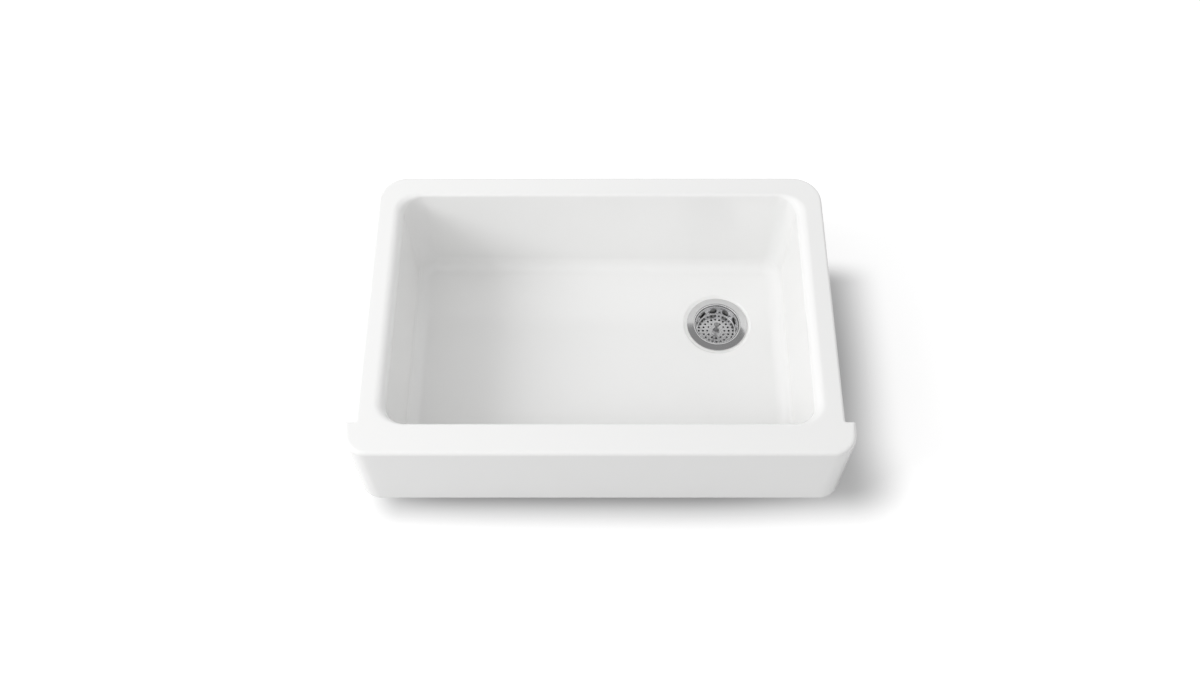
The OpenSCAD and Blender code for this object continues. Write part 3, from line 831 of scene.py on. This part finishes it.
def plated_finish(outer, inner):
    """The strainer body: plate with a high polish on the flange and over its mouth, a dull skin in
    the cup below it, whose darker colour is partly painted shade, and grooves on the two threads."""
    r = turned_finish("turned_plate", outer, *PLATE)
    place = r.place(DRAIN_FOOT)
    height = r.add("ShaderNodeSeparateXYZ", {0: place}).outputs[2]
    polished_unshaded = r.stretch(height, *(SEAT_Z - drop for drop in POLISH_FADE), 0.0, 1.0)
    # Below the seat the cup is given the darker colour: partly its dull skin, partly painted shade
    # in the cup
    r.set(Base_Color=r.blend(polished_unshaded, inner, outer))
    r.set(Roughness=r.stretch(polished_unshaded, 0.0, 1.0, CUP_ROUGHNESS, FLANGE_ROUGHNESS))
    flat = r.add("ShaderNodeVectorMath", {0: place, 1: (1, 1, 0)}, operation="MULTIPLY").outputs[0]
    radius = r.add("ShaderNodeVectorMath", {0: flat}, operation="LENGTH").outputs["Value"]
    threaded = 0.0
    for least, low, high in THREADS:
        above, below = r.math("GREATER_THAN", height, low), r.math("LESS_THAN", height, high)
        inside = r.math("MULTIPLY", above, below)
        on_thread = r.math("MULTIPLY", inside, r.math("GREATER_THAN", radius, least))
        threaded = r.math("MAXIMUM", threaded, on_thread)
    groove = r.math("SINE", r.math("MULTIPLY", height, 2 * math.pi / THREAD_PITCH))
    r.bump(r.math("MULTIPLY", groove, threaded), THREAD_DEPTH)
    return r.material


def cast_brass_finish(colour):
    """Cast brass: warm, a little stained, with a fine sandy skin."""
    r = Recipe("cast_brass")
    where = r.place()
    stain = r.stretch(r.noise(where, scale=110.0, detail=4.0), 0.35, 0.68, 0.0, 1.0)
    sand = r.noise(where, scale=1400.0)
    r.set(Base_Color=r.blend(stain, colour, [0.62 * c for c in colour]), Metallic=1.0)
    r.set(Roughness=r.stretch(stain, 0.0, 1.0, 0.30, 0.52))
    r.bump(sand, depth=0.00010)
    return r.material


def drawn_tube_finish(colour):
    """Plated tube with faint lines along its length and a few dull clouds."""
    r = Recipe("drawn_tube")
    where = r.place(DRAIN_FOOT)
    drawn = {0: where, 1: (1.0, 1.0, 0.03)}
    along = r.add("ShaderNodeVectorMath", drawn, operation="MULTIPLY").outputs[0]
    lines = r.noise(along, scale=2600.0, roughness=0.6)
    cloud = r.noise(where, scale=45.0, detail=3.0)
    r.set(Base_Color=colour, Metallic=1.0, Roughness=r.stretch(cloud, 0.35, 0.65, 0.12, 0.24))
    r.bump(lines, depth=0.00002)
    return r.material


# Roughness, grain per metre, the grain's depth in metres, and the mottling's share of the colour
SOFT = {
    "rubber": (0.42, 900.0, 0.00006, 1.5),
    "seal": (0.55, 700.0, 0.00008, 0.85),
    "fibre": (0.78, 1600.0, 0.00012, 0.72),
    "nylon": (0.30, 500.0, 0.00003, 0.96),
}


def soft_finish(name, colour, shine, grain, depth, mottle):
    """Rubber, fibre or nylon: a matt skin with fine grain and mottled colour."""
    r = Recipe(name)
    where = r.place()
    cloud = r.stretch(r.noise(where, scale=grain * 0.2, detail=3.0), 0.35, 0.65, 0.0, 1.0)
    r.set(Base_Color=r.blend(cloud, colour, [mottle * c for c in colour]))
    r.set(Roughness=r.stretch(cloud, 0.0, 1.0, shine, min(shine + 0.12, 1.0)))
    r.bump(r.noise(where, grain), depth)
    return r.material


# ---- Operators, one for each piece or group of like pieces


class SINK_OT_casting(bpy.types.Operator):
    """Builds the enamelled casting's smooth skin in place of the faceted one"""

    bl_idname = "sink.casting"
    bl_label = "Casting"

    def execute(self, context):
        casting = Casting(context.scene.sink_sizes)
        rings, enamel_end = casting.rings()
        faces = grid_faces(*rings.shape[:2], wrap_rows=True, wrap_columns=True)
        coat = casting.coat(rings, enamel_end).ravel()
        material = enamel_finish(context.scene.sink_finishes)
        points = rings.reshape(-1, 3)
        piece = make_piece(
            "enamelled_casting", points, faces, material, "root", {"coat": coat}
        )
        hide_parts("sink_casting")
        return {"FINISHED"}


class SINK_OT_drain(bpy.types.Operator):
    """Gives the strainer, the nuts, the seals and the tailpiece their finishes"""

    bl_idname = "sink.drain"
    bl_label = "Drain finishes"

    def execute(self, context):
        c = context.scene.sink_finishes
        plate = plated_finish(c.plate, c.inside)
        pressed = turned_finish("pressed_stainless", c.stainless, *PRESSED).material
        turned = turned_finish("turned_stainless", c.turned, *TURNED).material
        brass, tube = cast_brass_finish(c.brass), drawn_tube_finish(c.plate)
        soft = {name: soft_finish(name, getattr(c, name), *SOFT[name]) for name in SOFT}
        finishes = {
            "strainer_body": plate,
            "flange_seal": soft["seal"],
            "lower_gasket": soft["rubber"],
            "friction_ring": soft["fibre"],
            "locknut": brass,
            "tailpiece_washer": soft["nylon"],
            "tailpiece": tube,
            "coupling_nut": brass,
            "basket_shell": pressed,
            "basket_post": turned,
            "basket_knob": turned,
            "post_washer": turned,
            "post_spacer": turned,
            "stopper": soft["rubber"],
            "stopper_plate": pressed,
            "stopper_washer": turned,
            "stem_nut": turned,
            "catch_clip": turned,
        }
        for node, material in finishes.items():
            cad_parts[node].data.materials.clear()
            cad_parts[node].data.materials.append(material)
        return {"FINISHED"}


# ---- The stage

# Painted shadow: bounds of a window drawn by position, outside which the floor is lifted towards
# white over its cast shadow; where it begins and ends to fade, in metres to the right, left, front
# and rear
SHADOW_RIGHT, SHADOW_LEFT = (0.425, 0.561), (-0.350, -0.430)
SHADOW_FRONT, SHADOW_REAR = (-0.013, -0.112), (0.415, 0.477)
SHADOW_CORNER = (-0.20, -0.44)  # y - x, where the painted shadow pales towards the apron's right end
CORNER_SHADE = 0.86  # share of the painted shadow left there
WING_STEP, WING_FADE = 0.016, (-0.02, 0.09)  # extra reach of the painted shadow beside the wing, fading over these y
FLOOR_GREY = 0.63  # the floor's own grey, before it is lifted towards white
OPENING_TURN = 0.01  # keeps the opening's points off the axes, where its reach divides by zero
FLOOR_RINGS = (0.5, 1.0, 3.0)  # radii of the circles between the opening and the edge

OVERHEAD = (0.110, 0.173, 0.979)  # middle of the sky's dim patch overhead
PATCH = (math.cos(math.radians(28)), math.cos(math.radians(22)))  # cosines it fades in between
BESIDE = (0.60, -0.20, -0.77)  # the same for a dim patch low down at the right
BESIDE_PATCH = (0.22, 0.46)

MIDDLE = (0.0, 0.2, -0.15)  # point in the bowl that the lamps face
KEY_PLACE, KEY_SIZE = (-3.03, -0.90, 2.46), 1.75
GLINT_PLACE, GLINT_SIZE = (-3.05, -0.91, 2.48), 2.25
GLINTS = 0.12  # share of the key lamp's power that shows as its mirror image

EYE = (-0.00015, -0.8714, 1.8102)
EYE_DROP = 60.43  # degrees by which the camera looks down
SENSOR_WIDTH = 36.0  # millimetres
FOCAL_LENGTH, PICTURE_WIDTH = 1238.5, 1200  # both in points of the rendered picture


def stage_floor(stage):
    """A round floor with an opening under the bowl for the drain: the first ring follows a
    rectangle, whose reach in a direction is the smaller of half its width over cos and half its
    depth over sin; the others are circles of growing radius."""
    turn = np.linspace(0, 2 * math.pi, 97)[:-1] + OPENING_TURN
    sides = stage.opening_width / 2 / np.abs(np.cos(turn))
    ends = stage.opening_depth / 2 / np.abs(np.sin(turn))
    circles = [np.full(len(turn), radius) for radius in (*FLOOR_RINGS, stage.floor_radius)]
    radii = np.array([np.minimum(sides, ends), *circles])
    x, y = radii * np.cos(turn), radii * np.sin(turn) + stage.opening_middle
    points = np.stack([x, y, np.full(x.shape, -stage.floor_drop)], axis=2).reshape(-1, 3)
    faces = grid_faces(len(radii), len(turn), wrap_rows=False, wrap_columns=True)
    mesh = bpy.data.meshes.new("floor")
    mesh.from_pydata(points.tolist(), [], faces.tolist())
    mesh.polygons.foreach_set("use_smooth", np.ones(len(faces), bool))
    floor = bpy.data.objects.new("floor", mesh)
    bpy.context.scene.collection.objects.link(floor)
    return floor


def floor_finish(stage):
    """White floor that keeps the sink's cast shadow only inside a painted shadow window, drawn by
    position: the camera, metal and glass see it lifted towards white outside the window's bounds,
    painted light over the rest of the cast shadow. It gives the sink a little less light from
    below, and from underneath it is clear."""
    r = Recipe("floor")
    ray = r.add("ShaderNodeLightPath").outputs
    rays = r.math("MAXIMUM", ray["Is Camera Ray"], ray["Is Glossy Ray"])
    rays = r.math("MAXIMUM", rays, ray["Is Transmission Ray"])
    grey = r.blend(rays, (stage.bounce,) * 3, (FLOOR_GREY,) * 3)
    r.set(Base_Color=grey, Roughness=0.9, Specular_IOR_Level=0.0)
    x, y, _ = r.add("ShaderNodeSeparateXYZ", {0: r.place()}).outputs
    # Painted shadow window, drawn by position rather than cast: outside it the floor is lifted
    # towards white
    across = r.math("SUBTRACT", x, r.stretch(y, *WING_FADE, WING_STEP, 0.0, smooth=True))
    shade = r.stretch(across, *SHADOW_RIGHT, 1.0, 0.0, smooth=True)
    corner = r.math("SUBTRACT", y, x)
    ends = (x, SHADOW_LEFT, 0.0), (y, SHADOW_FRONT, 0.0), (y, SHADOW_REAR, 0.0)
    for value, bounds, least in (*ends, (corner, SHADOW_CORNER, CORNER_SHADE)):
        shade = r.math("MULTIPLY", shade, r.stretch(value, *bounds, 1.0, least, smooth=True))
    painted_lift = r.math("SUBTRACT", 1.0, shade)
    below = r.add("ShaderNodeNewGeometry").outputs["Backfacing"]
    r.set(Emission_Color=(1.0, 1.0, 1.0), Alpha=r.math("SUBTRACT", 1.0, below))
    r.set(Emission_Strength=r.math("MULTIPLY", rays, r.math("MULTIPLY", painted_lift, stage.glow)))
    return r.material


def plain_sky(strength, overhead, right):
    """A pale sky, dimmer in a patch overhead and in one low down at the right, and white to the
    camera."""
    world = bpy.data.worlds.new("sky")
    world.use_nodes = True
    tree = world.node_tree
    tree.nodes.clear()
    out = tree.nodes.new("ShaderNodeOutputWorld")
    seen = tree.nodes.new("ShaderNodeLightPath")
    mix = tree.nodes.new("ShaderNodeMixShader")
    light, white = (tree.nodes.new("ShaderNodeBackground") for _ in range(2))
    where, both = tree.nodes.new("ShaderNodeTexCoord"), tree.nodes.new("ShaderNodeMath")
    both.operation = "MULTIPLY"
    patches = ((OVERHEAD, PATCH, strength, overhead), (BESIDE, BESIDE_PATCH, 1.0, right))
    for socket, (middle, cosines, full, low) in zip(both.inputs, patches):
        near, fade = tree.nodes.new("ShaderNodeVectorMath"), tree.nodes.new("ShaderNodeMapRange")
        near.operation, fade.interpolation_type = "DOT_PRODUCT", "SMOOTHSTEP"
        near.inputs[1].default_value = middle
        for key, value in zip(("From Min", "From Max", "To Min", "To Max"), (*cosines, full, low)):
            fade.inputs[key].default_value = value
        tree.links.new(where.outputs["Generated"], near.inputs[0])
        tree.links.new(near.outputs["Value"], fade.inputs["Value"])
        tree.links.new(fade.outputs["Result"], socket)
    tree.links.new(both.outputs[0], light.inputs["Strength"])
    light.inputs["Color"].default_value = (1, 1, 1, 1)
    white.inputs["Color"].default_value = (1, 1, 1, 1)
    tree.links.new(seen.outputs["Is Camera Ray"], mix.inputs[0])
    tree.links.new(light.outputs[0], mix.inputs[1])
    tree.links.new(white.outputs[0], mix.inputs[2])
    tree.links.new(mix.outputs[0], out.inputs["Surface"])
    bpy.context.scene.world = world


def soft_lamp(name, place, target, size, power, glints=True):
    """A square lamp at place that faces target. Without glints it lights the sink and isn't
    mirrored in it."""
    data = bpy.data.lights.new(name, "AREA")
    data.shape, data.size, data.energy = "SQUARE", size, power
    lamp = bpy.data.objects.new(name, data)
    bpy.context.scene.collection.objects.link(lamp)
    lamp.location = place
    lamp.rotation_mode = "QUATERNION"
    lamp.rotation_quaternion = (lamp.location - Vector(target)).to_track_quat("Z", "Y")
    lamp.visible_glossy = glints


class SINK_OT_stage(bpy.types.Operator):
    """Sets the pale floor, the soft lamps and the camera"""

    bl_idname = "sink.stage"
    bl_label = "Stage"

    def execute(self, context):
        stage = context.scene.sink_stage
        floor = stage_floor(stage)
        floor.data.materials.append(floor_finish(stage))
        plain_sky(stage.sky, stage.overhead, stage.right)
        plain_light = stage.key * (1 - GLINTS)
        soft_lamp("key_lamp", KEY_PLACE, MIDDLE, KEY_SIZE, plain_light, glints=False)
        soft_lamp("key_glint", GLINT_PLACE, MIDDLE, GLINT_SIZE, stage.key * GLINTS)
        eye = bpy.data.cameras.new("camera")
        eye.sensor_width = SENSOR_WIDTH
        eye.lens = FOCAL_LENGTH / PICTURE_WIDTH * eye.sensor_width
        camera = bpy.data.objects.new("camera", eye)
        camera.location = EYE
        camera.rotation_euler = (math.radians(90 - EYE_DROP), 0, 0)
        context.scene.collection.objects.link(camera)
        context.scene.camera = camera
        context.scene.view_settings.view_transform = "Standard"
        return {"FINISHED"}


class SINK_PT_panel(bpy.types.Panel):
    """Lists the pieces of the sink and the stage"""

    bl_idname = "SINK_PT_panel"
    bl_label = "Apron front sink"
    bl_space_type = "VIEW_3D"
    bl_region_type = "UI"
    bl_category = "Sink"

    def draw(self, context):
        for operator in OPERATORS:
            self.layout.operator(operator.bl_idname)
        scene = context.scene
        for group in (scene.sink_sizes, scene.sink_finishes, scene.sink_stage):
            column = self.layout.column()
            for key in group.__annotations__:
                column.prop(group, key)


GROUPS = {"sink_sizes": SinkCastingSizes, "sink_finishes": SinkFinishes, "sink_stage": SinkStage}
OPERATORS = (SINK_OT_casting, SINK_OT_drain, SINK_OT_stage)


def register():
    """Makes the sizes, the finishes, the operators and the panel known to Blender."""
    for group in GROUPS.values():
        bpy.utils.register_class(group)
    for operator in (*OPERATORS, SINK_PT_panel):
        bpy.utils.register_class(operator)
    for key, group in GROUPS.items():
        setattr(bpy.types.Scene, key, bpy.props.PointerProperty(type=group))


def unregister():
    """Takes back all that register made known."""
    for key in GROUPS:
        delattr(bpy.types.Scene, key)
    for item in (SINK_PT_panel, *reversed(OPERATORS), *reversed(list(GROUPS.values()))):
        bpy.utils.unregister_class(item)


def main():
    """Builds everything."""
    register()
    bpy.ops.sink.casting()
    bpy.ops.sink.drain()
    bpy.ops.sink.stage()


if __name__ == "__main__":
    main()
